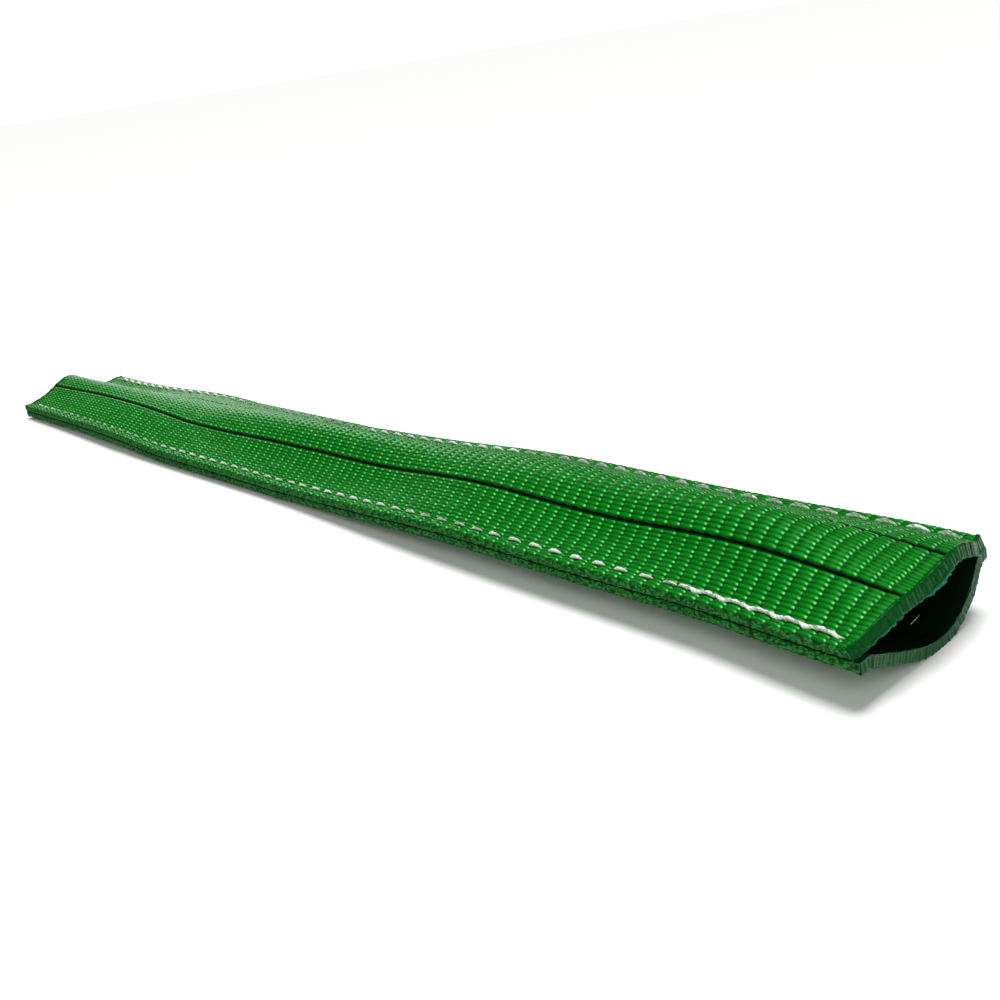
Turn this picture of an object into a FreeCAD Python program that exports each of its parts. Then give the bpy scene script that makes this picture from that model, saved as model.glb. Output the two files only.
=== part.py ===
import FreeCAD, Part
import math
import os

# Wear sleeve for a flat web sling: two equal lengths of polyester webbing laid face
# to face and lock-stitched together along both long edges. The sling passes through
# the tube between them, so both ends stay open.
#
# X runs along the sleeve, Y across it and Z up. The origin lies on the ground under
# the middle of the sleeve. All sizes are in millimetres.

# Webbing
sleeve_length = 500.0
web_width = 60.0
web_thickness = 3.0
sewn_gap = 0.05          # air left between the two webs along a seam
rest_flat = 0.3          # depth by which the ground presses the belly flat

# Marker yarns: two black warp yarns that divide each web into thirds
marker_width = 1.4
marker_depth = 0.5
marker_proud = 0.1
marker_clearance = 0.02

# Seams
seam_inset = 3.5         # stitch line to selvedge
thread_diameter = 1.2
thread_sink = 0.12       # how deep a tight stitch beds into the web
stitch_length = 4.4
stitch_gap = 4.0
seam_end_margin = 6.5    # the machine stops this far short of each cut end
backtack_length = 50.0   # front seam sewn twice over this length at the open end
backtack_swing = 0.7     # sideways step of the second run of stitches

# Shape in which the sleeve lies, from its flattened end to its open end. Each row
# holds: share of the length, roll in degrees, height of the upper web above the
# seams at a quarter, a half and three quarters of its width, and the share of the
# full belly depth that the lower web hangs down.
lie = [
    (0.00, 0.0, (4.2, 8.5, 0.6), 0.09),
    (0.12, -0.3, (6.1, 8.8, 1.3), 0.19),
    (0.25, 2.3, (5.7, 8.0, 4.3), 0.32),
    (0.38, 4.3, (4.5, 10.7, 6.4), 0.18),
    (0.50, 6.1, (5.7, 13.1, 6.0), 0.39),
    (0.60, 5.6, (4.4, 11.6, 4.5), 0.59),
    (0.70, 5.9, (6.1, 11.2, 6.3), 0.84),
    (0.82, 6.5, (4.2, 11.7, 6.9), 0.91),
    (0.91, 6.5, (6.6, 12.1, 6.1), 0.99),
    (1.00, 4.0, (3.5, 3.5, 4.9), 1.00),
]
upper_places = (0.25, 0.5, 0.75)
belly_places = (0.3, 0.7, 0.85)
belly_depths = (7.5, 11.8, 8.1)

# Fineness of the model
span_samples = 60        # steps across a web between its seams
outline_points = 25      # points that carry a web's outline across its width
section_count = 13       # cross-sections along the sleeve
ground_depth = 20.0      # height of the block that trims the belly flat


def spline(knots, values):
    """Natural cubic spline through the given values, as a function."""
    count = len(knots)
    bend = [0.0] * count
    ratio = [0.0] * count
    carry = [0.0] * count
    for i in range(1, count - 1):
        left = knots[i] - knots[i - 1]
        right = knots[i + 1] - knots[i]
        slope_change = (values[i + 1] - values[i]) / right - (values[i] - values[i - 1]) / left
        pivot = 2.0 * (left + right) - left * ratio[i - 1]
        ratio[i] = right / pivot
        carry[i] = (6.0 * slope_change - left * carry[i - 1]) / pivot
    for i in range(count - 2, 0, -1):
        bend[i] = carry[i] - ratio[i] * bend[i + 1]

    def value_at(place):
        i = 0
        while i < count - 2 and place > knots[i + 1]:
            i += 1
        width = knots[i + 1] - knots[i]
        after = (place - knots[i]) / width
        before = 1.0 - after
        curve = (before ** 3 - before) * bend[i] + (after ** 3 - after) * bend[i + 1]
        return before * values[i] + after * values[i + 1] + curve * width ** 2 / 6.0

    return value_at


shares = [row[0] for row in lie]
roll_at = spline(shares, [row[1] for row in lie])
rise_at = [spline(shares, [row[2][k] for row in lie]) for k in range(len(upper_places))]
belly_share_at = spline(shares, [row[3] for row in lie])


def span_profile(places, heights):
    """Heights of a web between its seams, from the front seam to the back seam."""
    profile = spline([0.0] + list(places) + [1.0], [0.0] + list(heights) + [0.0])
    return [profile(i / span_samples) for i in range(span_samples + 1)]


def line_length(points):
    return sum(math.dist(points[i], points[i + 1]) for i in range(len(points) - 1))


def across(profile, chord):
    return [((i / span_samples - 0.5) * chord, z) for i, z in enumerate(profile)]


def seam_chord(profile):
    """Straight distance between the seams when the web keeps its woven width."""
    sewn_width = web_width - 2.0 * seam_inset
    chord = sewn_width
    for _ in range(8):
        chord *= sewn_width / line_length(across(profile, chord))
    return chord


def resample(points, count):
    """The same line with evenly spaced points."""
    total = line_length(points)
    result = [points[0]]
    walked = 0.0
    i = 0
    for k in range(1, count - 1):
        goal = total * k / (count - 1)
        step = math.dist(points[i], points[i + 1])
        while walked + step < goal:
            walked += step
            i += 1
            step = math.dist(points[i], points[i + 1])
        part = (goal - walked) / step
        a, b = points[i], points[i + 1]
        result.append((a[0] + (b[0] - a[0]) * part, a[1] + (b[1] - a[1]) * part))
    result.append(points[-1])
    return result


def middle_lines(share):
    """Middle lines (y, z) of the upper and the lower web, with the seams at z = 0."""
    upper = span_profile(upper_places, [rise(share) for rise in rise_at])
    depth_share = belly_share_at(share)
    lower = span_profile(belly_places, [depth * depth_share for depth in belly_depths])
    chord = seam_chord(upper)
    lift = (web_thickness + sewn_gap) / 2.0
    lines = []
    for profile, side in ((upper, 1.0), (lower, -1.0)):
        line = [(y, side * (z + lift)) for y, z in across(profile, chord)]
        front = (-chord / 2.0 - seam_inset, side * lift)
        back = (chord / 2.0 + seam_inset, side * lift)
        lines.append(resample([front] + line + [back], outline_points))
    return lines


def normals(line, side):
    """Unit normals of a line, pointing out of the sleeve."""
    result = []
    last = len(line) - 1
    for i in range(len(line)):
        a = line[max(i - 1, 0)]
        b = line[min(i + 1, last)]
        size = math.dist(a, b)
        result.append((-(b[1] - a[1]) / size * side, (b[0] - a[0]) / size * side))
    return result


def turned(point, degrees):
    angle = math.radians(degrees)
    y, z = point
    return (y * math.cos(angle) - z * math.sin(angle), y * math.sin(angle) + z * math.cos(angle))


def offset(line, side, distance):
    out = normals(line, side)
    return [(p[0] + n[0] * distance, p[1] + n[1] * distance) for p, n in zip(line, out)]


def section(share):
    """Middle lines of both webs at one place along the sleeve, resting on the ground."""
    roll = roll_at(share)
    upper, lower = [[turned(p, roll) for p in line] for line in middle_lines(share)]
    outer = offset(lower, -1.0, web_thickness / 2.0)
    belly_low = min(p[1] for p in outer)
    thread_low = min(outer[0][1], outer[-1][1]) - thread_diameter + thread_sink
    drop = min(belly_low + rest_flat, thread_low)
    return [[(y, z - drop) for y, z in line] for line in (upper, lower)]


def face_line(share, side, height):
    """Line at a height above a web's middle line, counted outwards."""
    line = section(share)[0 if side > 0 else 1]
    return offset(line, side, height)


def point_on(share, side, distance, height):
    """Point at a distance from the front selvedge along a web."""
    line = face_line(share, side, height)
    place = distance / web_width * (len(line) - 1)
    i = min(int(place), len(line) - 2)
    part = place - i
    y = line[i][0] + (line[i + 1][0] - line[i][0]) * part
    z = line[i][1] + (line[i + 1][1] - line[i][1]) * part
    return FreeCAD.Vector((share - 0.5) * sleeve_length, y, z)


def curve_edge(x, line):
    curve = Part.BSplineCurve()
    curve.interpolate([FreeCAD.Vector(x, y, z) for y, z in line])
    return curve.toShape()


def web_outline(share, side):
    """Closed outline of a web's cross-section."""
    x = (share - 0.5) * sleeve_length
    outer = curve_edge(x, face_line(share, side, web_thickness / 2.0))
    inner = curve_edge(x, face_line(share, side, -web_thickness / 2.0))
    front = Part.makeLine(inner.Vertexes[0].Point, outer.Vertexes[0].Point)
    back = Part.makeLine(outer.Vertexes[-1].Point, inner.Vertexes[-1].Point)
    return Part.Wire([front, outer, back, inner])


def along(count):
    return [i / (count - 1) for i in range(count)]


def web(side):
    return Part.makeLoft([web_outline(share, side) for share in along(section_count)], True, False)


def marker(side, distance, clearance):
    """Strip that lies in the outer face of a web, over its whole length."""
    low = web_thickness / 2.0 - marker_depth - clearance
    high = web_thickness / 2.0 + marker_proud + clearance
    half = marker_width / 2.0 + clearance
    corners = [(-half, low), (half, low), (half, high), (-half, high), (-half, low)]
    wires = []
    for share in along(section_count):
        ring = [point_on(share, side, distance + across_step, height) for across_step, height in corners]
        wires.append(Part.makePolygon(ring))
    return Part.makeLoft(wires, True, False)


def stitch(side, distances, start, end):
    """One stitch that lies on the outer face, from one place along the sleeve to another."""
    height = web_thickness / 2.0 + thread_diameter / 2.0 - thread_sink
    a = point_on(start / sleeve_length, side, distances[0], height)
    b = point_on(end / sleeve_length, side, distances[1], height)
    return Part.makeCylinder(thread_diameter / 2.0, (b - a).Length, a, b - a)


def seam_thread(side, distance, backtack):
    """All stitches of one thread that show on the outside of a web."""
    pitch = stitch_length + stitch_gap
    sewn = sleeve_length - 2.0 * seam_end_margin
    count = int((sewn - stitch_length) / pitch) + 1
    first = sleeve_length - seam_end_margin - (count - 1) * pitch - stitch_length
    stitches = []
    for i in range(count):
        start = first + i * pitch
        stitches.append(stitch(side, (distance, distance), start, start + stitch_length))
        following = start + stitch_length
        if i < count - 1 and following > sleeve_length - seam_end_margin - backtack:
            beside = distance + backtack_swing
            stitches.append(stitch(side, (beside, beside), following, following + stitch_gap))
    return Part.makeCompound(stitches)


front_seam = seam_inset
back_seam = web_width - seam_inset
marker_lines = {"front": web_width / 3.0, "back": web_width * 2.0 / 3.0}

ground = Part.makeBox(
    sleeve_length * 2.0,
    web_width * 2.0,
    ground_depth,
    FreeCAD.Vector(-sleeve_length, -web_width, -ground_depth),
)

nodes = {}
for name, side in (("upper", 1.0), ("lower", -1.0)):
    body = web(side).cut(ground)
    for place, distance in marker_lines.items():
        body = body.cut(marker(side, distance, marker_clearance))
        nodes[f"{name}_{place}_marker_yarn"] = marker(side, distance, 0.0).cut(ground)
    nodes[f"{name}_web"] = body

for place, distance, backtack in (("front", front_seam, backtack_length), ("back", back_seam, 0.0)):
    nodes[f"{place}_seam_needle_thread"] = seam_thread(1.0, distance, backtack)
    nodes[f"{place}_seam_bobbin_thread"] = seam_thread(-1.0, distance, backtack)

os.makedirs("parts", exist_ok=True)
for name in sorted(nodes):
    shape = nodes[name]
    shape.exportStep(f"parts/{name}.step")
    box = shape.BoundBox
    print(
        f"{name}: {len(shape.Solids)} solids, valid {shape.isValid()}, {shape.Volume:.0f} mm3, "
        f"y {box.YMin:.1f} to {box.YMax:.1f}, z {box.ZMin:.1f} to {box.ZMax:.1f}"
    )
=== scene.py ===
# %% [markdown]
# # A wear sleeve for a flat web sling
#
# The object is a flat tube of green polyester webbing. Two equal webs are laid face to
# face and lock-stitched along both long edges, and a lifting sling passes through the
# tube between them. Everything that makes it look real is in its weave: thick warp yarns
# that run along the web, pulled down at every weft into ribs, a black marker yarn at each
# third of the width, selvedges full of small weft loops, and ends cut with a hot knife.
#
# The imported CAD model is the fixed frame. It is loaded first.

# %% Load the frame
import math
import bpy
import mathutils
import numpy as np
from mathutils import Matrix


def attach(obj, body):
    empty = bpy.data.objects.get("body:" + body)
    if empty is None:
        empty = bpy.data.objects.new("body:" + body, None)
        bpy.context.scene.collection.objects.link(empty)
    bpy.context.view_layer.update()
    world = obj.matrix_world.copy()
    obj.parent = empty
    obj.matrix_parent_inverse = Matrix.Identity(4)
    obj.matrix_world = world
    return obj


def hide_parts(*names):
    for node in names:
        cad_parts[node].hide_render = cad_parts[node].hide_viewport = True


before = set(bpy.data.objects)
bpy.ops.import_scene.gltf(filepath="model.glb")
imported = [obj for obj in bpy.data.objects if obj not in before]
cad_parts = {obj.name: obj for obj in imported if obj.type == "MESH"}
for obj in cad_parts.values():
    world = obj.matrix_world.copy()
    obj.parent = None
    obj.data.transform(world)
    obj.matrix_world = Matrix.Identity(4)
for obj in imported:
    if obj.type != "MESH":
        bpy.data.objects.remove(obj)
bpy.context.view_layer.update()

# %% [markdown]
# ## Camera
#
# The camera stands beyond the open end of the sleeve, a little above it and turned about
# its own axis, with a lens slightly longer than normal. It comes first, because the size
# of everything else is judged through it.

# %% Camera
camera_place = (0.37306, -0.22476, 0.14947)
camera_turn = (68.400, 8.169, 47.439)   # degrees about X, Y and Z
sensor_width = 36.0
lens_length = 41.58

lens = bpy.data.cameras.new("camera")
lens.sensor_width = sensor_width
lens.lens = lens_length
lens.clip_start = 0.01
camera = bpy.data.objects.new("camera", lens)
camera.location = camera_place
camera.rotation_euler = [math.radians(angle) for angle in camera_turn]
bpy.context.collection.objects.link(camera)
bpy.context.scene.camera = camera
print("camera is", round(sum(c * c for c in camera_place) ** 0.5, 3), "m from the middle of the sleeve")

# %% [markdown]
# ## Sizes
#
# Lengths are written in millimetres, as a weaver or a sewer would give them, and turned
# into metres where a point is made. X runs along the sleeve, Y across it and Z up, as in
# the CAD. The webs lie in one soft shape, given at ten places along the sleeve: how far
# the tube rolls, how high the upper web arches and how far the lower web sags.

# %% Sizes of the webbing
MM = 0.001
sleeve_length = 500.0
web_width = 60.0
web_thickness = 3.0
sewn_gap = 0.05
rest_flat = 0.3
seam_inset = 3.5
thread_diameter = 1.2
thread_sink = 0.12
seam_end_margin = 6.5
stitch_length = 4.4
stitch_gap = 4.0
backtack_length = 50.0

rib_count = 113
yarn_count = 43
rib_pitch = sleeve_length / rib_count
yarn_pitch = web_width / yarn_count
print(f"ribs every {rib_pitch:.2f} mm, warp yarns every {yarn_pitch:.2f} mm")

# Each row: share of the length, roll in degrees, heights of the upper web above the seams
# at a quarter, a half and three quarters of its width, share of the full belly depth.
lie = [
    (0.00, 0.0, (4.2, 8.5, 0.6), 0.09),
    (0.12, -0.3, (6.1, 8.8, 1.3), 0.19),
    (0.25, 2.3, (5.7, 8.0, 4.3), 0.32),
    (0.38, 4.3, (4.5, 10.7, 6.4), 0.18),
    (0.50, 6.1, (5.7, 13.1, 6.0), 0.39),
    (0.60, 5.6, (4.4, 11.6, 4.5), 0.59),
    (0.70, 5.9, (6.1, 11.2, 6.3), 0.84),
    (0.82, 6.5, (4.2, 11.7, 6.9), 0.91),
    (0.91, 6.5, (6.6, 12.1, 6.1), 0.99),
    (1.00, 4.0, (3.5, 3.5, 4.9), 1.00),
]
upper_places = (0.25, 0.5, 0.75)
belly_places = (0.3, 0.7, 0.85)
belly_depths = (7.5, 11.8, 8.1)

# %% [markdown]
# ## The shape in which the webs lie
#
# A web can't stretch, so its cross-section is a line of constant length between two seams
# that come closer together as it arches. A smooth spline goes through the heights, the
# distance between the seams is solved so that the woven width is kept, and the line is
# then divided evenly. A table of such lines, one every few millimetres, lets any point
# on the sleeve be found from its place along the sleeve, its distance across the web from
# the front selvedge, and its height above the middle of the web's thickness. A grid that
# is laid on this surface keeps the true size of the weave everywhere.

# %% Smooth spline
def smooth(knots, values, places):
    """Natural cubic spline through values at knots, read at places."""
    knots = np.asarray(knots, float)
    values = np.asarray(values, float)
    count = len(knots)
    steps = np.diff(knots)
    system = np.eye(count)
    right = np.zeros(count)
    for i in range(1, count - 1):
        system[i, i - 1:i + 2] = steps[i - 1], 2.0 * (steps[i - 1] + steps[i]), steps[i]
        right[i] = 6.0 * ((values[i + 1] - values[i]) / steps[i] - (values[i] - values[i - 1]) / steps[i - 1])
    bend = np.linalg.solve(system, right)
    places = np.asarray(places, float)
    i = np.clip(np.searchsorted(knots, places, side="right") - 1, 0, count - 2)
    width = steps[i]
    after = (places - knots[i]) / width
    before = 1.0 - after
    curve = (before ** 3 - before) * bend[i] + (after ** 3 - after) * bend[i + 1]
    return before * values[i] + after * values[i + 1] + curve * width ** 2 / 6.0


# %% Table of cross-sections
span_steps = 60
span_places = np.linspace(0.0, 1.0, span_steps + 1)
line_points = 121
station_count = 401
stations = np.linspace(0.0, 1.0, station_count)
shares = [row[0] for row in lie]
roll_at = smooth(shares, [row[1] for row in lie], stations)
rise_at = [smooth(shares, [row[2][k] for row in lie], stations) for k in range(3)]
belly_at = smooth(shares, [row[3] for row in lie], stations)
sewn_width = web_width - 2.0 * seam_inset


def middle_lines(station):
    """Middle lines (y, z) of the upper and lower web at one station, before they are laid down."""
    rises = [0.0] + [rise[station] for rise in rise_at] + [0.0]
    upper = smooth((0.0,) + upper_places + (1.0,), rises, span_places)
    depths = [0.0] + [depth * belly_at[station] for depth in belly_depths] + [0.0]
    lower = smooth((0.0,) + belly_places + (1.0,), depths, span_places)
    chord = sewn_width
    for _ in range(8):
        chord *= sewn_width / np.hypot(chord / span_steps, np.diff(upper)).sum()
    lift = (web_thickness + sewn_gap) / 2.0
    lines = []
    for profile, side in ((upper, 1.0), (lower, -1.0)):
        y = np.r_[-chord / 2.0 - seam_inset, (span_places - 0.5) * chord, chord / 2.0 + seam_inset]
        z = side * np.r_[lift, profile + lift, lift]
        walked = np.r_[0.0, np.cumsum(np.hypot(np.diff(y), np.diff(z)))]
        even = np.linspace(0.0, walked[-1], line_points)
        lines.append(np.stack([np.interp(even, walked, y), np.interp(even, walked, z)], -1))
    return lines


def out_normals(line, side):
    along_line = np.gradient(line, axis=0)
    along_line /= np.linalg.norm(along_line, axis=1)[:, None]
    return np.stack([-along_line[:, 1], along_line[:, 0]], -1) * side


def laid_section(station):
    """Both middle lines, rolled and set down on the ground."""
    angle = math.radians(roll_at[station])
    turn = np.array([[math.cos(angle), math.sin(angle)], [-math.sin(angle), math.cos(angle)]])
    upper, lower = [line @ turn for line in middle_lines(station)]
    outer = lower + out_normals(lower, -1.0) * web_thickness / 2.0
    thread_low = min(outer[0, 1], outer[-1, 1]) - thread_diameter + thread_sink
    drop = min(outer[:, 1].min() + rest_flat, thread_low)
    return upper - (0.0, drop), lower - (0.0, drop)


sections = [laid_section(station) for station in range(station_count)]
lines = {1: np.array([pair[0] for pair in sections]), -1: np.array([pair[1] for pair in sections])}
normals = {side: np.array([out_normals(line, side) for line in lines[side]]) for side in (1, -1)}
print("highest point of the middle of the upper web", round(lines[1][..., 1].max(), 1), "mm")

# %% A point on the sleeve
def read_table(table, along, across):
    """Reads a table of sections between its entries."""
    row = np.clip(along * (station_count - 1), 0, station_count - 1.001)
    column = np.clip(across * (line_points - 1), 0, line_points - 1.001)
    i, j = row.astype(int), column.astype(int)
    a, b = (row - i)[:, None], (column - j)[:, None]
    near = table[i, j] * (1 - b) + table[i, j + 1] * b
    far = table[i + 1, j] * (1 - b) + table[i + 1, j + 1] * b
    return near * (1 - a) + far * a


def on_sleeve(side, x, distance, height):
    """Points in metres. Side is 1 for the upper web and -1 for the lower one."""
    x, distance, height = np.broadcast_arrays(*[np.asarray(v, float) for v in (x, distance, height)])
    along = x / sleeve_length + 0.5
    inside = np.clip(distance, 0.0, web_width)
    middle = read_table(lines[side], along, inside / web_width)
    out = read_table(normals[side], along, inside / web_width)
    out /= np.linalg.norm(out, axis=1)[:, None]
    tangent = np.stack([out[:, 1], -out[:, 0]], -1) * side
    place = middle + out * height[:, None] + tangent * (distance - inside)[:, None]
    z = np.maximum(place[:, 1], 0.0)
    return np.stack([x, place[:, 0], z], -1) * MM


# %% [markdown]
# ## The weave as a surface
#
# On the real web each warp yarn floats over the weft for one rib and dives between two
# ribs, side by side with its neighbours. So a rib is a row of short rounded dashes with
# a deep narrow valley before the next rib. The webs are seen from so near that this has to
# be real relief: a shader's bump has no outline and casts no shadow. The relief is kept
# cheap by placing the grid's lines where the form needs them, one in each valley and
# the rest on the crown, which is four lines for each rib and three for each yarn.

# %% Relief of ribs and yarns
rib_depth = 0.46
yarn_depth = 0.30
crown_lift = 0.12
crown_power = 4.2
rib_steps = (0.0, 0.16, 0.50, 0.84)
yarn_steps = (0.0, 0.22, 0.78)
wander = 0.22                     # how far a yarn's dive strays along the web
uneven_dive = 0.35                # share of that stray that is random
level_spread = 0.03               # unevenness of the yarns' height, in millimetres
dice = np.random.default_rng(7)
yarn_stray = dice.uniform(-1.0, 1.0, (rib_count + 2, yarn_count + 1)) * uneven_dive
yarn_stray += np.where(np.arange(yarn_count + 1) % 2, 0.5, -0.5)
yarn_level = dice.normal(0.0, level_spread, (rib_count + 2, yarn_count + 1))


def weave_height(rib_place, yarn_place):
    """Height of the cloth over its mean face, from places counted in ribs and in yarns."""
    along = np.abs(2.0 * (rib_place % 1.0) - 1.0)
    across = np.abs(2.0 * (yarn_place % 1.0) - 1.0)
    dive = along ** crown_power
    round_off = 1.0 - np.sqrt(np.clip(1.0 - (0.98 * across) ** 2, 0.0, 1.0))
    rib = np.clip(rib_place.astype(int), 0, rib_count)
    yarn = np.clip(yarn_place.astype(int), 0, yarn_count)
    return crown_lift - rib_depth * dive - yarn_depth * round_off * (0.8 + 0.6 * dive) + yarn_level[rib, yarn]


def stray_along(rib_place, yarn_place):
    """Shift of a point along the web, in millimetres."""
    rib = np.clip(np.round(rib_place).astype(int), 0, rib_count + 1)
    yarn = np.clip(np.floor(yarn_place).astype(int), 0, yarn_count)
    edge = np.clip(np.minimum(rib_place, rib_count - rib_place), 0.0, 1.0)
    return yarn_stray[rib, yarn] * wander * edge


# %% [markdown]
# ## Grids that become cloth
#
# Every woven or spun piece starts as one flat grid from the Add menu. Its rows are laid
# along the piece and its columns are wrapped round it until the last meets the first, the
# doubles are merged and both ends are filled, which gives a closed skin. The grid's own
# places, counted along and round the piece, stay as its UV map, so a material can follow
# the yarns wherever the cloth bends.

# %% Helper for wrapped grids
def select_only(obj):
    bpy.ops.object.select_all(action="DESELECT")
    obj.select_set(True)
    bpy.context.view_layer.objects.active = obj


def wrapped_grid(name, along_count, round_count, place, closed=True):
    """Grid whose points go where place(i, j) says. It returns the points and their UV."""
    bpy.ops.object.select_all(action="DESELECT")
    columns = round_count if closed else round_count - 1
    bpy.ops.mesh.primitive_grid_add(x_subdivisions=along_count - 1, y_subdivisions=columns, size=2.0)
    piece = bpy.context.object
    piece.name = name
    mesh = piece.data
    mesh.name = name
    flat = np.empty(len(mesh.vertices) * 3)
    mesh.vertices.foreach_get("co", flat)
    flat = flat.reshape(-1, 3)
    i = np.rint((flat[:, 0] + 1.0) / 2.0 * (along_count - 1)).astype(int)
    j = np.rint((flat[:, 1] + 1.0) / 2.0 * columns).astype(int)
    points, uv = place(i, j % round_count if closed else j, j)
    mesh.vertices.foreach_set("co", points.ravel())
    corners = np.empty(len(mesh.loops), int)
    mesh.loops.foreach_get("vertex_index", corners)
    mesh.uv_layers[0].name = "weave"
    mesh.uv_layers[0].data.foreach_set("uv", uv[corners].ravel())
    mesh.update()
    if closed:
        select_only(piece)
        bpy.ops.object.mode_set(mode="EDIT")
        bpy.ops.mesh.select_all(action="SELECT")
        bpy.ops.mesh.remove_doubles(threshold=1e-7)
        bpy.ops.mesh.fill_holes(sides=0)
        bpy.ops.mesh.select_all(action="SELECT")
        bpy.ops.mesh.normals_make_consistent(inside=False)
        bpy.ops.object.mode_set(mode="OBJECT")
    mesh.shade_smooth()
    return piece


# %% [markdown]
# ## The two webs
#
# One ring of the wrapped grid goes across the outer face with its full relief, round the
# back selvedge, home across the inner face, and round the front selvedge. The inner face
# is only seen through the open end, so it has one line for each yarn. The hot knife left
# both corners a little short and the outer edge shorter than the inner one, so the last
# rib ends on a bevel.

# %% Places round a web
half = web_thickness / 2.0
outer_ring = [(yarn + step) * yarn_pitch for yarn in range(yarn_count) for step in yarn_steps] + [web_width]
inner_ring = [(yarn + 0.5) * yarn_pitch for yarn in reversed(range(yarn_count))]
bulge = 0.45
side_steps = 5
side_turns = [(k + 1) / (side_steps + 1) for k in range(side_steps)]
ring_distance = np.array(
    outer_ring
    + [web_width + bulge * math.sin(math.pi * t) for t in side_turns]
    + inner_ring
    + [-bulge * math.sin(math.pi * t) for t in side_turns]
)
outer_end = len(outer_ring)
inner_start = outer_end + side_steps
inner_end = inner_start + len(inner_ring)
ring_level = np.concatenate([
    np.full(outer_end, half),
    half * np.cos(math.pi * np.array(side_turns)),
    np.full(len(inner_ring), -half),
    -half * np.cos(math.pi * np.array(side_turns)),
])
inner_uv = web_width + web_thickness
front_uv = inner_uv + web_width
around_web = front_uv + web_thickness
ring_uv = np.concatenate([
    outer_ring,
    web_width + web_thickness * np.array(side_turns),
    front_uv - np.array(inner_ring),
    front_uv + web_thickness * np.array(side_turns),
])
row_places = np.array([rib + step for rib in range(rib_count) for step in rib_steps] + [rib_count], float)
marker_yarns = (14, yarn_count - 15)
marker_sink = 0.80
slot_lean = 0.46                  # the yarns beside a marker yarn close over it
slot_sway = 0.26
slot_rise = 0.12
loop_swell = 0.22                 # how far the weft's loops stand out of a selvedge
cut_stretch_ribs = 2.5            # ribs over which the cut's slant is taken up
corner_round = 0.8

cut_places = (-1.0, 0.0, 3.5, 12.0, 20.0, 40.0, 52.0, 60.0, 61.0)
cut_short = {
    1: (3.8, 3.6, 2.9, 1.2, 0.4, 0.1, 0.9, 2.7, 3.0),
    -1: (0.6, 0.5, 0.3, 0.1, 0.0, 0.0, 0.3, 1.0, 1.2),
}
cut_bevel = {1: 1.2, -1: -0.2}      # the knife went through the lower web squarely


def cut_end(side, distance, level):
    """Where the hot knife ended the web, for a distance across it and a level in its thickness."""
    inward = (half - level) / web_thickness
    return sleeve_length / 2.0 - np.interp(distance, cut_places, cut_short[side]) + cut_bevel[side] * inward


def web_points(side):
    def place(i, j, j_open):
        rib_place, distance, level = row_places[i], ring_distance[j], ring_level[j]
        yarn_place = np.clip(distance / yarn_pitch, 0.0, yarn_count - 1e-6)
        x = rib_place * rib_pitch + stray_along(rib_place, yarn_place) - sleeve_length / 2.0
        outer = j < outer_end
        inner = (j >= inner_start) & (j < inner_end)
        edge = np.clip(1.0 - np.minimum(distance, web_width - distance) / corner_round, 0.0, 1.0)
        rounding = corner_round * (1.0 - np.sqrt(np.clip(1.0 - edge ** 2, 0.0, 1.0)))
        height = level.copy()
        relief = weave_height(rib_place, yarn_place)
        in_marker = np.isin(np.floor(yarn_place + 1e-9).astype(int), marker_yarns)
        next_marker = np.isin(np.floor(yarn_place - 1e-3).astype(int), marker_yarns)
        relief = np.where(in_marker & (yarn_place % 1.0 > 0.01), -marker_sink, relief)
        wall = (in_marker | next_marker) & (yarn_place % 1.0 < 0.01)
        relief = np.where(wall, relief + slot_rise, relief)
        sway = slot_sway * np.sin(2.0 * math.pi * rib_place)
        distance = distance + np.where(wall, np.where(in_marker, slot_lean, -slot_lean) + sway, 0.0)
        height = np.where(outer, height + relief - rounding, height)
        flat_rib = crown_lift - rib_depth * np.abs(2.0 * (rib_place % 1.0) - 1.0) ** crown_power
        height = np.where(inner, height - 0.6 * flat_rib, height)
        around = ~outer & ~inner
        loops = loop_swell * np.cos(2.0 * math.pi * (rib_place * 2.0 + level / web_thickness))
        away = np.where(distance > web_width / 2.0, 1.0, -1.0)
        distance = distance + np.where(around, loops * away, 0.0)
        near_end = cut_end(side, distance, level)
        tail = sleeve_length / 2.0 - cut_stretch_ribs * rib_pitch
        x = np.where(x > tail, tail + (x - tail) * (near_end - tail) / (sleeve_length / 2.0 - tail), x)
        uv = np.stack([rib_place * rib_pitch, np.where(j_open == j, ring_uv[j], around_web)], -1) * MM
        return on_sleeve(side, x, distance, height), uv
    return place


# %% [markdown]
# The cloth gets four finishes: the outer face, the selvedges, the cut ends and the inner
# face. The first, second and fourth are found by their place in the UV map, which runs
# once round the web, and the cut ends are the faces that filled the grid's two open rings.

# %% Both webs
woven_slot, selvedge_slot, melted_slot, inner_face_shade_slot = range(4)
corner_share = 0.6                # how far the outer face's finish reaches onto a selvedge


def set_finishes(web):
    grid_faces = (len(row_places) - 1) * len(ring_distance)
    uv = np.empty(len(web.data.loops) * 2)
    web.data.uv_layers["weave"].data.foreach_get("uv", uv)
    across = uv.reshape(-1, 2)[:grid_faces * 4, 1].reshape(-1, 4).mean(1) / MM
    finish = np.full(len(web.data.polygons), melted_slot)
    inside = (across > inner_uv) & (across < front_uv)
    outer = (across < web_width + corner_share) | (across > around_web - corner_share)
    finish[:grid_faces] = np.where(outer, woven_slot, np.where(inside, inner_face_shade_slot, selvedge_slot))
    web.data.polygons.foreach_set("material_index", finish)


webs = {}
for side, name in ((1, "upper_web"), (-1, "lower_web")):
    web = wrapped_grid(f"{name}_cloth", len(row_places), len(ring_distance), web_points(side))
    webs[side] = web
    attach(web, "root")
    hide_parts(name)
    print(web.name, len(web.data.polygons), "faces")

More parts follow.
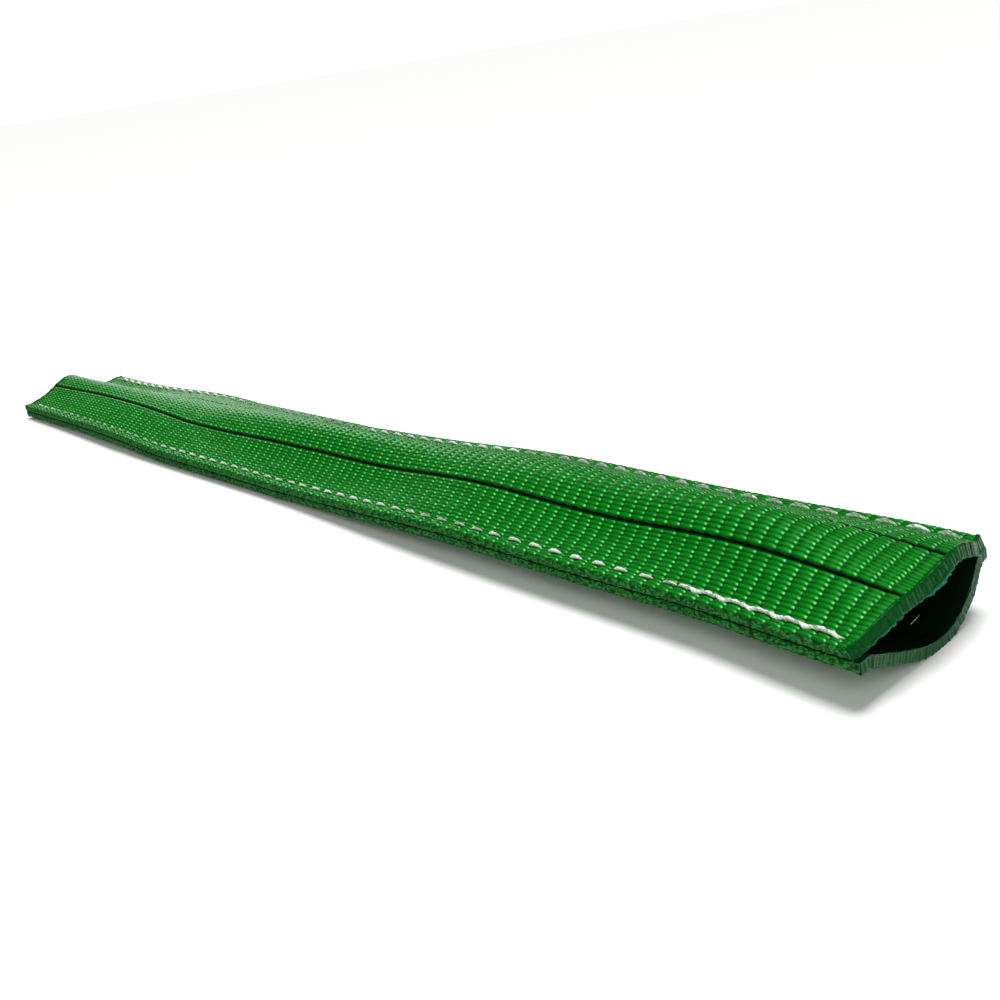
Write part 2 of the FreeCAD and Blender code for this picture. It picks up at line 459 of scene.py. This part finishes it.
# %% [markdown]
# ## Marker yarns
#
# The black yarn at each third of the width is one warp yarn of another colour, drawn a
# little tighter than its neighbours, so it lies lower in the cloth. It is a slim wrapped
# grid of its own that rises and dives with the same ribs.

# %% Marker yarns
yarn_ring = 8
yarn_turns = np.arange(yarn_ring) * 2.0 * math.pi / yarn_ring
yarn_half_width = 0.36
yarn_half_height = 0.34
marker_level = half - 0.42
marker_dive = 0.30
marker_swell = 0.12
marker_past_cut = 0.15


def marker_points(side, yarn):
    def place(i, j, j_open):
        rib_place = row_places[i]
        dive = np.abs(2.0 * (rib_place % 1.0) - 1.0) ** crown_power
        x = rib_place * rib_pitch - sleeve_length / 2.0
        x = np.minimum(x, cut_end(side, (yarn + 0.5) * yarn_pitch, half) + marker_past_cut)
        swell = 1.0 + marker_swell * (1.0 - dive)
        distance = (yarn + 0.5) * yarn_pitch + yarn_half_width * swell * np.cos(yarn_turns[j])
        height = marker_level - marker_dive * dive + yarn_half_height * np.sin(yarn_turns[j])
        uv = np.stack([rib_place * rib_pitch, j_open * 0.4], -1) * MM
        return on_sleeve(side, x, distance, height), uv
    return place


marker_pieces = []
for side, web_name in ((1, "upper"), (-1, "lower")):
    for yarn, place_name in zip(marker_yarns, ("front", "back")):
        node = f"{web_name}_{place_name}_marker_yarn"
        yarn_piece = wrapped_grid(f"{node}_spun", len(row_places), yarn_ring, marker_points(side, yarn))
        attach(yarn_piece, "root")
        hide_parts(node)
        marker_pieces.append(yarn_piece)
print(len(marker_pieces), "marker yarns")

# %% [markdown]
# ## Seam threads
#
# A lock stitch shows as a row of short dashes on each face, where the thread comes up
# through one hole and goes down through the next. Pulled tight, each dash is fat in the
# middle and pointed at both ends. One dash is modelled as a wrapped grid with two twisted
# plies, and every other dash is a copy of it with its own mesh, laid on the web at its
# own place, with a little of the unevenness of a sewing machine.

# %% One stitch
stitch_lift = 0.14
thread_radius = thread_diameter / 2.0 * 1.22   # a stitch flattens against the cloth
dash_rows = 11
dash_ring = 6
ply_groove = 0.12
ply_turns = 1.6
dash_taper = 0.6
dash_arch = 1.15                  # height of a dash's middle, in thread radii
dash_bed = 0.72                   # depth of its ends, in thread radii


def dash_points(i, j, j_open):
    share = i / (dash_rows - 1.0)
    fullness = np.sin(math.pi * np.clip(share, 0.02, 0.98)) ** dash_taper
    angle = j * 2.0 * math.pi / dash_ring
    ply = 1.0 - ply_groove * (1.0 - np.cos(2.0 * (angle - ply_turns * math.pi * share))) / 2.0
    radius = thread_radius * fullness * ply
    lift = fullness * dash_arch - dash_bed
    points = np.stack([share, radius * np.cos(angle), radius * np.sin(angle) + lift * thread_radius], -1)
    return points, np.stack([share * stitch_length, j_open * thread_diameter * math.pi / dash_ring], -1) * MM


pattern_dash = wrapped_grid("stitch_pattern", dash_rows, dash_ring, dash_points)
dash_shape = np.empty(len(pattern_dash.data.vertices) * 3)
pattern_dash.data.vertices.foreach_get("co", dash_shape)
dash_shape = dash_shape.reshape(-1, 3)
print("one stitch has", len(pattern_dash.data.polygons), "faces")

# %% Rows of stitches
sewing = np.random.default_rng(11)
dash_lengths = {"front": 4.9, "back": 6.2}   # longer than the pattern of the CAD model
length_spread = 0.25
start_spread = 0.15
sideways_spread = 0.1
stitch_pitch = stitch_length + stitch_gap
sewn_length = sleeve_length - 2.0 * seam_end_margin
stitch_count = int((sewn_length - stitch_length) / stitch_pitch) + 1
first_stitch = sleeve_length / 2.0 - seam_end_margin - (stitch_count - 1) * stitch_pitch - stitch_length
backtack_start = sleeve_length / 2.0 - seam_end_margin - backtack_length


def lay_stitch(name, side, distance, start, slant, dash_length):
    piece = pattern_dash.copy()
    piece.data = pattern_dash.data.copy()
    piece.name = name
    bpy.context.collection.objects.link(piece)
    length = dash_length + sewing.normal(0.0, length_spread)
    shift = (stitch_length - length) / 2.0 + sewing.normal(0.0, start_spread)
    x = start + shift + dash_shape[:, 0] * length
    sideways = slant * (dash_shape[:, 0] - 0.5) + sewing.normal(0.0, sideways_spread)
    across = distance + dash_shape[:, 1] + sideways
    points = on_sleeve(side, x, across, half + crown_lift + stitch_lift + dash_shape[:, 2])
    piece.data.vertices.foreach_set("co", points.ravel())
    return piece


def lay_seam(name, side, distance, slant, last, dash_length):
    stitches = []
    for k in range(stitch_count):
        start = first_stitch + k * stitch_pitch
        if start < last:
            stitches.append(lay_stitch(f"{name}_{k}", side, distance, start, slant, dash_length))
    select_only(stitches[0])
    for piece in stitches:
        piece.select_set(True)
    bpy.ops.object.join()
    seam = bpy.context.object
    seam.name = name
    seam.data.name = name
    return seam


# %% [markdown]
# ## Back-tack
#
# At the open end the front seam is sewn twice, forwards and back, so that it can't
# unpick. The second run fills the gaps of the first, and the two lie against each other
# as one wavy line of twisted thread. It is a wrapped grid along a wavy path.

# %% Back-tack of the front seam
tack_rows = 181
tack_ring = 10
tack_wave = 0.62
tack_rise = 0.20
tack_wobble = 0.12
tack_lift = 0.36
tack_dive = 0.7                   # how deep its two ends go into the web
tack_fatness = 1.02
tack_ply_groove = 0.16
twist_pitch = 2.6


def tack_points(side):
    def place(i, j, j_open):
        share = i / (tack_rows - 1.0)
        walked = share * backtack_length
        phase = walked / stitch_pitch * 2.0 * math.pi
        ends = np.clip(np.minimum(share, 1.0 - share) * 26.0, 0.0, 1.0) ** 0.6
        angle = j * 2.0 * math.pi / tack_ring
        ply = 1.0 - tack_ply_groove * (1.0 - np.cos(2.0 * angle - walked / twist_pitch * 2.0 * math.pi)) / 2.0
        radius = thread_radius * tack_fatness * ply * np.clip(ends, 0.08, 1.0)
        centre = seam_inset + tack_wave * np.sin(phase) + tack_wobble * np.sin(phase * 2.7)
        rise = tack_rise * np.sin(phase * 2.0 + 0.8) - tack_dive * (1.0 - ends)
        lift = half + crown_lift + tack_lift + rise
        x = backtack_start + walked
        points = on_sleeve(side, x, centre + radius * np.cos(angle), lift + radius * np.sin(angle))
        return points, np.stack([walked, j_open * thread_diameter * math.pi / tack_ring], -1) * MM
    return place


# %% [markdown]
# A frayed filament also hangs in the mouth. It is joined to the front needle thread.

# %% Frayed end inside the mouth
fray_radius = 0.11
fray_rows = 12
fray_ring = 5
fray_line = np.array([(246.0, -1.8, 8.4), (246.8, -1.8, 9.4), (247.4, -1.2, 10.2), (247.6, -0.4, 10.8)])


def fray_points(i, j, j_open):
    share = i / (fray_rows - 1.0)
    angle = j * 2.0 * math.pi / fray_ring
    centre = np.stack([smooth(np.linspace(0, 1, 4), fray_line[:, k], share) for k in range(3)], -1)
    thin = fray_radius * np.clip(1.15 - share, 0.2, 1.0)
    points = centre + np.stack([thin * np.cos(angle), thin * np.sin(angle), 0.0 * thin], -1)
    return points * MM, np.stack([share * 6.0, j_open], -1) * MM


# %% All four seam threads
seam_pieces = []
for side, thread in ((1, "needle"), (-1, "bobbin")):
    for place_name, distance, slant in (("front", seam_inset, 0.7), ("back", web_width - seam_inset, -0.5)):
        node = f"{place_name}_seam_{thread}_thread"
        last = backtack_start - stitch_length if place_name == "front" else sleeve_length
        dash_length = dash_lengths[place_name]
        seam = lay_seam(f"{node}_stitches", side, distance, slant, last, dash_length)
        extras = []
        if place_name == "front":
            extras.append(wrapped_grid(f"{node}_backtack", tack_rows, tack_ring, tack_points(side)))
        if place_name == "front" and side == 1:
            extras.append(wrapped_grid("frayed_filament", fray_rows, fray_ring, fray_points))
        select_only(seam)
        for piece in extras:
            piece.select_set(True)
        bpy.ops.object.join()
        bpy.ops.object.mode_set(mode="EDIT")
        bpy.ops.mesh.select_all(action="SELECT")
        bpy.ops.mesh.normals_make_consistent(inside=False)
        bpy.ops.object.mode_set(mode="OBJECT")
        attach(seam, "root")
        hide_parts(node)
        seam_pieces.append(seam)
        print(seam.name, len(seam.data.polygons), "faces")
bpy.data.objects.remove(pattern_dash)

# %% [markdown]
# ## Melted ends
#
# A hot knife melts the polyester as it cuts. It leaves a dark glossy skin over the cut
# face, a bead that laps onto the outer face, and a thin ragged fin along the inner edge.
# Each end gets a strip that laps the cut from the outer face to the fin, with lumps. The
# flat end's skins are a guess by likeness to the open end.

# %% Melted skin over the cuts
melt_rows = 260
melt_steps = np.array([-0.9, -0.45, -0.1, 0.25, 0.7, 1.2, 1.7, 2.2, 2.7, 3.05, 3.3])
fin_size = {1: 1.0, -1: 0.3}
ridge_height = 0.05               # ends of the warp yarns in the cut face
fine_period = 1.1                 # spacing of the small and the large lumps
broad_period = 5.0
lump_height = 0.10
skin_proud = 0.22
skin_thickness = 0.15
lap_lift = 0.12                   # how far the bead on the outer face stands up
lap_unevenness = 0.35
lap_overhang = 0.25               # how far the skin reaches past each selvedge


def lumps(places, period, seed):
    """Smooth random line from -1 to 1."""
    knots = np.arange(0.0, web_width + 3.0 * period, period)
    values = np.random.default_rng(seed).uniform(-1.0, 1.0, len(knots))
    return smooth(knots, values, places)


def melt_points(side, end, seed):
    def place(i, j, j_open):
        distance = i / (melt_rows - 1.0) * (web_width + 2.0 * lap_overhang) - lap_overhang
        clear = np.clip(distance, 0.0, web_width)
        step = melt_steps[j]
        fine = lumps(clear, fine_period, seed)
        broad = lumps(clear, broad_period, seed + 1)
        on_face = step < 0.0
        level = np.where(on_face, half, half - np.clip(step, 0.0, web_thickness))
        beyond = cut_end(side, clear, level) - sleeve_length / 2.0 if end > 0 else 0.0 * clear
        ridge = ridge_height * np.cos(2.0 * math.pi * clear / yarn_pitch)
        proud = skin_proud + lump_height * fine + lump_height * broad + ridge
        x = sleeve_length / 2.0 + beyond + proud
        x = np.where(on_face, x + step * (1.0 + lap_unevenness * broad), x)
        height = np.where(on_face, half + lap_lift + lump_height * fine, level)
        fin = np.clip(step - 2.8, 0.0, 1.0) * (0.7 + 0.7 * broad + 0.5 * fine) * fin_size[side]
        x = x + np.clip(fin, 0.0, 1.0)
        height = np.where(step > web_thickness, -half + 0.05, height)
        uv = np.stack([clear, step], -1) * MM
        return on_sleeve(side, x * end, distance, height), uv
    return place


melted_pieces = []
for side, web_name in ((1, "upper"), (-1, "lower")):
    for end, end_name in ((1, "open"), (-1, "flat")):
        strip = wrapped_grid(
            f"{web_name}_web_melted_{end_name}_end",
            melt_rows,
            len(melt_steps),
            melt_points(side, end, 20 + 3 * side + end),
            closed=False,
        )
        thicken = strip.modifiers.new("skin", "SOLIDIFY")
        thicken.thickness = skin_thickness * MM
        thicken.offset = 0.0
        select_only(strip)
        bpy.ops.object.modifier_apply(modifier=thicken.name)
        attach(strip, "root")
        melted_pieces.append(strip)
print(len(melted_pieces), "melted ends")

# %% [markdown]
# ## Materials
#
# A shader is built from nodes, so one small helper adds a node with its settings and its
# links. Colours are written as they look on a screen and turned to linear light.

# %% Helpers for materials
def linear(hex_colour):
    """Linear colour of an sRGB hex value."""
    channels = [int(hex_colour[k:k + 2], 16) / 255.0 for k in (1, 3, 5)]
    return tuple(c / 12.92 if c <= 0.04045 else ((c + 0.055) / 1.055) ** 2.4 for c in channels) + (1.0,)


def add(material, kind, inputs=None, **settings):
    """Adds a node, sets its settings, and sets or links its inputs."""
    node = material.node_tree.nodes.new(kind)
    for key, value in settings.items():
        setattr(node, key, value)
    for key, value in (inputs or {}).items():
        if isinstance(value, bpy.types.NodeSocket):
            material.node_tree.links.new(value, node.inputs[key])
        else:
            node.inputs[key].default_value = value
    return node


def new_material(name):
    material = bpy.data.materials.new(name)
    material.use_nodes = True
    material.node_tree.nodes.clear()
    return material


def finish_material(material, inputs):
    shader = add(material, "ShaderNodeBsdfPrincipled", inputs)
    add(material, "ShaderNodeOutputMaterial", {"Surface": shader.outputs["BSDF"]})


def math_node(material, operation, *values):
    return add(material, "ShaderNodeMath", dict(enumerate(values)), operation=operation).outputs[0]


def cloth_places(material):
    return add(material, "ShaderNodeUVMap", uv_map="weave").outputs["UV"]


def mapped(material, vector, **settings):
    inputs = {"Vector": vector}
    inputs.update(settings)
    return add(material, "ShaderNodeMapping", inputs).outputs["Vector"]


def noise(material, vector, size, detail):
    """Noise with lumps of a size in millimetres."""
    inputs = {"Vector": vector, "Scale": 1.0 / (size * MM), "Detail": detail}
    return add(material, "ShaderNodeTexNoise", inputs).outputs["Fac"]


def ramp_between(material, value, start, end, low=0.0, high=1.0, interpolation="LINEAR"):
    """Runs from low to high while the value runs from start to end."""
    inputs = {"Value": value, "From Min": start, "From Max": end, "To Min": low, "To Max": high}
    node = add(material, "ShaderNodeMapRange", inputs, interpolation_type=interpolation)
    return node.outputs["Result"]


def mixed(material, share, a, b):
    """Colour between a and b. Each is a hex colour or a node's output."""
    a, b = [linear(colour) if isinstance(colour, str) else colour for colour in (a, b)]
    node = add(material, "ShaderNodeMix", {"Factor": share, "A": a, "B": b}, data_type="RGBA")
    return node.outputs[2]


def bump(material, height, strength, distance):
    """Bump whose depth is given in millimetres."""
    inputs = {"Height": height, "Strength": strength, "Distance": distance * MM}
    return add(material, "ShaderNodeBump", inputs).outputs["Normal"]


# %% [markdown]
# ### Woven high-tenacity polyester
#
# Polyester filament yarn is smooth and shiny. The run from dark to light along each float
# is painted light and shade, the pale bead near its end is a painted highlight, and the
# narrow gaps between the floats carry painted shade. All three are in the base colour, so
# they don't move with the light or the view. The pattern is read from the cloth's own
# places: a rib every 4.4 mm and a yarn every 1.4 mm.

# %% Colours and sizes of the webbing
# painted shade, darkest in the narrow gaps between the floats
gap_shade_green = "#003503"
body_green = "#005205"
# the pale end of the random tone, and the lit end of the painted light along a float
pale_and_lit_green = "#048F1A"
# painted highlight
painted_glint_green = "#8CF298"           # the shoulder of a float, where it turns down into a valley
filament_width = 0.35            # bundles of filaments, coarse enough to show
patches_per_metre = 60.0
float_share = 0.25               # how much of the tone differs from float to float
patch_share = 0.25               # how much of it drifts over the web
# the run from dark to light along a float is painted light and shade
painted_run_share = 0.75                 # how much of it runs along a float
polyester_ior = 1.58

# %% Webbing: counting ribs and yarns
webbing = new_material("woven_polyester_green")
cloth_uv = cloth_places(webbing)
counted = mapped(webbing, cloth_uv, Scale=(1 / (rib_pitch * MM), 1 / (yarn_pitch * MM), 1))
counts = add(webbing, "ShaderNodeSeparateXYZ", {"Vector": counted})


def to_edge(count):
    """From 0 in the middle of a rib or a yarn to 1 at its edge."""
    phase = math_node(webbing, "FRACT", count)
    doubled = math_node(webbing, "MULTIPLY", phase, 2.0)
    return math_node(webbing, "ABSOLUTE", math_node(webbing, "SUBTRACT", doubled, 1.0))


to_rib_edge = to_edge(counts.outputs["X"])
to_yarn_edge = to_edge(counts.outputs["Y"])
rib_phase = math_node(webbing, "FRACT", counts.outputs["X"])

# %% Webbing: painted shade in the gaps between the floats
rib_gap_shade = ramp_between(webbing, to_rib_edge, 0.86, 1.0, 0.0, 0.55, "SMOOTHSTEP")
yarn_gap_shade = ramp_between(webbing, to_yarn_edge, 0.25, 0.90, 0.0, 1.0, "SMOOTHSTEP")
deeper_gap_shade = math_node(webbing, "ADD", math_node(webbing, "MULTIPLY", to_rib_edge, 0.5), 0.5)
painted_gap_shade = math_node(webbing, "MAXIMUM", rib_gap_shade, math_node(webbing, "MULTIPLY", yarn_gap_shade, deeper_gap_shade))

# %% Webbing: tone of each float, with painted light and shade along it
whole = add(webbing, "ShaderNodeVectorMath", {0: counted}, operation="FLOOR").outputs["Vector"]
each_float = add(
    webbing, "ShaderNodeTexWhiteNoise", {"Vector": whole}, noise_dimensions="2D"
).outputs["Value"]
cloudy = add(
    webbing, "ShaderNodeTexNoise", {"Vector": cloth_uv, "Scale": patches_per_metre, "Detail": 3.0}
).outputs["Fac"]
patchy = math_node(
    webbing,
    "ADD",
    math_node(webbing, "MULTIPLY", each_float, float_share),
    math_node(webbing, "MULTIPLY", cloudy, patch_share),
)
# painted light: each float is painted lighter towards the end that faces the light
painted_light_run = math_node(webbing, "MULTIPLY", math_node(webbing, "POWER", rib_phase, 1.6), painted_run_share)
tone_and_painted_light = math_node(webbing, "ADD", patchy, painted_light_run)
face_colour = mixed(webbing, tone_and_painted_light, body_green, pale_and_lit_green)
# painted shade in the gaps between the floats, laid over the tone of the floats
cloth_colour = mixed(webbing, painted_gap_shade, face_colour, gap_shade_green)

# %% Webbing: painted highlight near the end of each float
# painted highlight: a pale glint on the shoulder of each float, where it turns into a valley
glint_start = ramp_between(webbing, rib_phase, 0.78, 0.93, interpolation="SMOOTHSTEP")
glint_end = ramp_between(webbing, rib_phase, 0.95, 0.99, 1.0, 0.0)
glint_width = ramp_between(webbing, to_yarn_edge, 0.08, 0.64, 1.0, 0.0, "SMOOTHSTEP")
glint_size = math_node(webbing, "ADD", math_node(webbing, "MULTIPLY", each_float, 0.6), 0.22)
painted_glint = math_node(
    webbing,
    "MULTIPLY",
    math_node(webbing, "MULTIPLY", glint_start, glint_end),
    math_node(webbing, "MULTIPLY", glint_width, glint_size),
)

# %% Webbing: finish
drawn_out = mapped(webbing, cloth_uv, Scale=(0.12, 1.0, 1.0))
filaments = noise(webbing, drawn_out, filament_width, 2.0)
finish_material(webbing, {
    "Base Color": mixed(webbing, painted_glint, cloth_colour, painted_glint_green),
    "Normal": bump(webbing, filaments, 0.10, 0.12),
    "Roughness": 0.40,
    "Specular IOR Level": 0.12,
    "Specular Tint": linear("#48DC60"),
    "IOR": polyester_ior,
})

# %% [markdown]
# ### Selvedge
#
# The edge of a web is where the weft turns round and is chained through itself, so it
# shows small irregular loops. Their tops are painted pale as a painted highlight, and the
# hollows between them dark as painted shade.

# %% Selvedge
loop_size = 0.62
loop_bend = 0.0018                # metres by which noise bends the pattern of loops
selvedge = new_material("woven_selvedge_loops")
edge_uv = cloth_places(selvedge)
warp = add(
    selvedge, "ShaderNodeTexNoise", {"Vector": edge_uv, "Scale": 1.0 / (1.8 * MM), "Detail": 2.0}
).outputs["Color"]
bent = add(
    selvedge, "ShaderNodeMix", {"Factor": loop_bend, "A": edge_uv, "B": warp}, data_type="VECTOR"
).outputs[1]
loops = add(
    selvedge,
    "ShaderNodeTexVoronoi",
    {"Vector": mapped(selvedge, bent, Scale=(0.50, 1.0, 1.0)), "Scale": 1.0 / (loop_size * MM)},
).outputs["Distance"]
# The loop pattern is real; its pale colour is a painted highlight on the loop tops, and its dark colour is
# painted shade between them.
loops_with_painted_light = add(selvedge, "ShaderNodeValToRGB", {"Fac": loops})
ramp = loops_with_painted_light.color_ramp
ramp.elements[0].color = linear("#2C8C38")
ramp.elements[0].position = 0.08
ramp.elements[1].color = linear("#023608")
ramp.elements[1].position = 0.70
finish_material(selvedge, {
    "Base Color": loops_with_painted_light.outputs["Color"],
    "Normal": bump(selvedge, loops, 0.8, -0.5),
    "Roughness": 0.7,
    "Specular IOR Level": 0.1,
})

# %% [markdown]
# ### Inner face
#
# The inner faces are only seen in deep shade through the open end. They are painted a
# near-black green without shine, which is painted shade; this colour is a guess.

# %% Inner face
inner_face_shade = new_material("woven_polyester_inner_face_painted_shade")
inner_face_shade_tone = noise(inner_face_shade, cloth_places(inner_face_shade), 6.0, 4.0)
# painted shade: the inner face is painted near-black because it lies in deep shade
finish_material(inner_face_shade, {
    "Base Color": mixed(inner_face_shade, inner_face_shade_tone, "#000A01", "#021C06"),
    "Roughness": 0.9,
    "Specular IOR Level": 0.05,
})

# %% [markdown]
# ### Melted polyester
#
# Where the knife passed, the yarn has run together into a glassy dark green skin, drawn
# out to a pale translucent fin at the inner edge.

# %% Melted ends
melted = new_material("melted_polyester")
melt_uv = cloth_places(melted)
melt_noise = noise(melted, melt_uv, 1.6, 4.0)
melt_depth = add(melted, "ShaderNodeSeparateXYZ", {"Vector": melt_uv}).outputs["Y"]
fin_share = ramp_between(melted, melt_depth, 2.5 * MM, 3.2 * MM)
melt_green = mixed(melted, melt_noise, "#01280A", "#0D5A1D")
finish_material(melted, {
    "Base Color": mixed(melted, fin_share, melt_green, "#27604C"),
    "Normal": bump(melted, melt_noise, 0.6, 0.4),
    "Roughness": 0.18,
    "Specular IOR Level": 0.08,
    "Specular Tint": linear("#9FE8B0"),
    "IOR": polyester_ior,
})

# %% [markdown]
# ### Dyed black yarn and natural sewing thread
#
# The marker yarn is the same polyester, spun-dyed black. The sewing thread is undyed and
# bonded, an off-white with a slight shine, and its plies cross it slantwise.

# %% Marker yarn
marker_finish = new_material("spun_dyed_black_polyester")
marker_fuzz = noise(marker_finish, cloth_places(marker_finish), 0.5, 2.0)
finish_material(marker_finish, {
    "Base Color": mixed(marker_finish, marker_fuzz, "#010101", "#0A0B0B"),
    "Normal": bump(marker_finish, marker_fuzz, 0.4, 0.15),
    "Roughness": 0.9,
    "Specular IOR Level": 0.06,
})

# %% Sewing thread
ply_pitch = 0.9
ply_slant = 38.0                  # degrees
thread_finish = new_material("bonded_polyester_thread")
slanted = mapped(thread_finish, cloth_places(thread_finish), Rotation=(0.0, 0.0, math.radians(ply_slant)))
plies = add(
    thread_finish,
    "ShaderNodeTexWave",
    {
        "Vector": slanted,
        "Scale": 1.0 / (ply_pitch * MM) * 2.0 * math.pi / 20.0,
        "Distortion": 0.6,
        "Detail": 1.0,
    },
).outputs["Fac"]
# The grooves between the plies are painted a little darker than the plies' tops, which is painted shade.
finish_material(thread_finish, {
    "Base Color": mixed(thread_finish, plies, "#DBD8CC", "#FFFFFF"),
    "Normal": bump(thread_finish, plies, 0.5, 0.15),
    "Roughness": 0.5,
    "Sheen Weight": 0.15,
})

# %% Put the finishes on
for web in webs.values():
    for material in (webbing, selvedge, melted, inner_face_shade):
        web.data.materials.append(material)
    set_finishes(web)
for piece in marker_pieces:
    piece.data.materials.append(marker_finish)
for piece in seam_pieces:
    piece.data.materials.append(thread_finish)
for piece in melted_pieces:
    piece.data.materials.append(melted)
print("finishes are on", len(webs) + len(marker_pieces) + len(seam_pieces) + len(melted_pieces), "pieces")

# %% [markdown]
# ## Floor and light
#
# The sleeve lies on a plain pale floor. A broad sun overhead is the main light and casts
# the soft shadow, a low softbox behind the flat end gives the crest its pale sheen, a
# large soft fill stands in front, and an even white surround lights the rest.

# %% Floor
floor_size = 60.0
bpy.ops.object.select_all(action="DESELECT")
bpy.ops.mesh.primitive_plane_add(size=floor_size)
floor = bpy.context.object
floor.name = "floor"
floor_paint = new_material("pale_matt_floor")
finish_material(floor_paint, {"Base Color": linear("#FBFBFA"), "Roughness": 0.9})
floor.data.materials.append(floor_paint)

# %% Lights
def softbox(name, place, target, size, power):
    light = bpy.data.lights.new(name, "AREA")
    light.shape = "RECTANGLE"
    light.size, light.size_y = size
    light.energy = power
    lamp = bpy.data.objects.new(name, light)
    lamp.location = place
    direction = mathutils.Vector(target) - mathutils.Vector(place)
    lamp.rotation_euler = direction.to_track_quat("-Z", "Y").to_euler()
    bpy.context.collection.objects.link(lamp)


softbox("low_back_softbox", (-1.08, 0.54, 0.36), (-0.04, 0.0, 0.02), size=(0.50, 0.26), power=2.6)
softbox("front_fill", (0.95, -0.95, 0.85), (0.05, 0.0, 0.0), size=(1.0, 1.0), power=9.0)

sun_strength = 2.9
sun_spread = 28.0                 # degrees, so the shadow's edge is soft
sun_direction = (0.08, -0.18, -1.0)
overhead = bpy.data.lights.new("overhead_light", "SUN")
overhead.energy = sun_strength
overhead.angle = math.radians(sun_spread)
overhead_lamp = bpy.data.objects.new("overhead_light", overhead)
overhead_lamp.rotation_euler = mathutils.Vector(sun_direction).to_track_quat("-Z", "Y").to_euler()
bpy.context.collection.objects.link(overhead_lamp)

# %% [markdown]
# The surround looks white, so that the floor has no visible horizon, but it lights the
# sleeve only weakly, so the valleys of the weave stay dark.

# %% Surround
surround_light = 0.16
world = bpy.context.scene.world or bpy.data.worlds.new("surround")
bpy.context.scene.world = world
world.use_nodes = True
background = world.node_tree.nodes["Background"]
background.inputs["Color"].default_value = linear("#FFFFFF")
path = world.node_tree.nodes.new("ShaderNodeLightPath")
level = world.node_tree.nodes.new("ShaderNodeMapRange")
level.inputs["To Min"].default_value = surround_light
level.inputs["To Max"].default_value = 1.0
world.node_tree.links.new(path.outputs["Is Camera Ray"], level.inputs["Value"])
world.node_tree.links.new(level.outputs["Result"], background.inputs["Strength"])
bpy.context.scene.view_settings.view_transform = "Standard"
